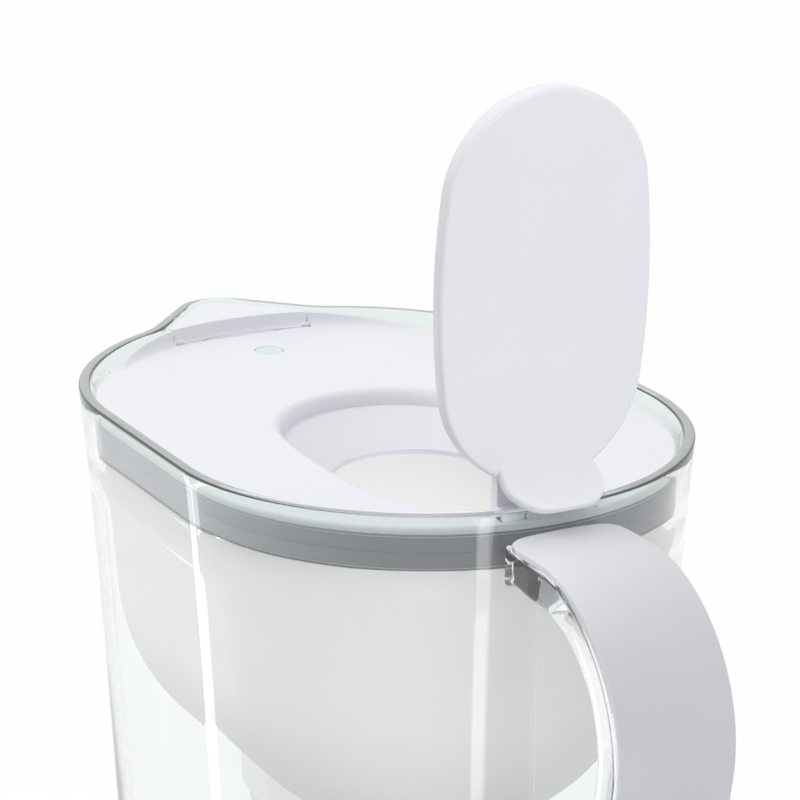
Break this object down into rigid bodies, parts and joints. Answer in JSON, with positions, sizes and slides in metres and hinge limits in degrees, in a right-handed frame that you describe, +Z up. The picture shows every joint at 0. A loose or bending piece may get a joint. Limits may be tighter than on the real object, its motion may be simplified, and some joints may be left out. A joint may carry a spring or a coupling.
{
  "type": "water filter pitcher",
  "caption": "Clear jug with a spout and a loop handle, a hung funnel with a filter cartridge, and a white lid with a hinged filling flap, a spout flap and a change indicator.",
  "frame": {"origin": "middle of the ring that the jug stands on, at table height", "axes": "+Z up, +X towards the handle, -X towards the spout, +Y across the jug"},
  "size_m": [0.2105, 0.1108, 0.3368],
  "materials": {
    "clear_plastic": "clear, polished mould",
    "grip_plastic": "white, satin",
    "funnel_plastic": "white, satin",
    "lid_plastic": "white, polished",
    "flap_plastic": "white, polished",
    "window_plastic": "pale aqua, translucent",
    "module_plastic": "white, fine matt",
    "hinge_steel": "drawn wire",
    "board_laminate": "green solder mask",
    "lamp_resin": "clear resin over a pale chip",
    "switch_plastic": "black, matt",
    "cell_steel": "plated, bright",
    "clip_steel": "sprung strip",
    "gasket_silicone": "soft, translucent white",
    "seal_silicone": "soft, pale grey",
    "cartridge_plastic": "white, satin",
    "screen_mesh": "fine woven mesh",
    "granules": "loose dark grains"
  },
  "bodies": {
    "jug": {"jug": "clear_plastic", "handle_frame": "clear_plastic", "handle_cover": "grip_plastic"},
    "funnel": {"funnel": "funnel_plastic"},
    "lid": {"lid": "lid_plastic", "flap_hinge_pin": "hinge_steel", "indicator_housing": "module_plastic", "indicator_board": "board_laminate", "indicator_lamp": "lamp_resin", "indicator_switch": "switch_plastic", "coin_cell": "cell_steel", "cell_clip": "clip_steel", "indicator_gasket": "gasket_silicone", "indicator_cover": "module_plastic"},
    "fill_flap": {"fill_flap": "flap_plastic"},
    "spout_flap": {"spout_flap": "lid_plastic"},
    "button": {"indicator_button": "window_plastic"},
    "cartridge": {"cartridge_shell": "cartridge_plastic", "cartridge_seal": "seal_silicone", "cartridge_cap": "cartridge_plastic", "inlet_screen": "screen_mesh", "filter_media": "granules", "outlet_screen": "screen_mesh"}
  },
  "joints": [
    {"name": "funnel_lift", "type": "slide", "parent": "jug", "child": "funnel", "axis": [0, 0, 1], "range_m": [0, 0.18]},
    {"name": "lid_lift", "type": "slide", "parent": "funnel", "child": "lid", "axis": [0, 0, 1], "range_m": [0, 0.06]},
    {"name": "cartridge_lift", "type": "slide", "parent": "funnel", "child": "cartridge", "axis": [0, 0, 1], "range_m": [0, 0.034]},
    {"name": "flap_hinge", "type": "hinge", "parent": "lid", "child": "fill_flap", "pos_m": [0.06825, 0, 0.2528], "axis": [0, -1, 0], "range_deg": [0, 91.7]},
    {"name": "spout_flap_hinge", "type": "hinge", "parent": "lid", "child": "spout_flap", "pos_m": [-0.06828, 0, 0.25294], "axis": [0, 1, 0], "range_deg": [0, 45]},
    {"name": "button_press", "type": "slide", "parent": "lid", "child": "button", "axis": [0, 0, -1], "range_m": [0, 0.0005], "stiffness_N_per_m": 2000}
  ]
}
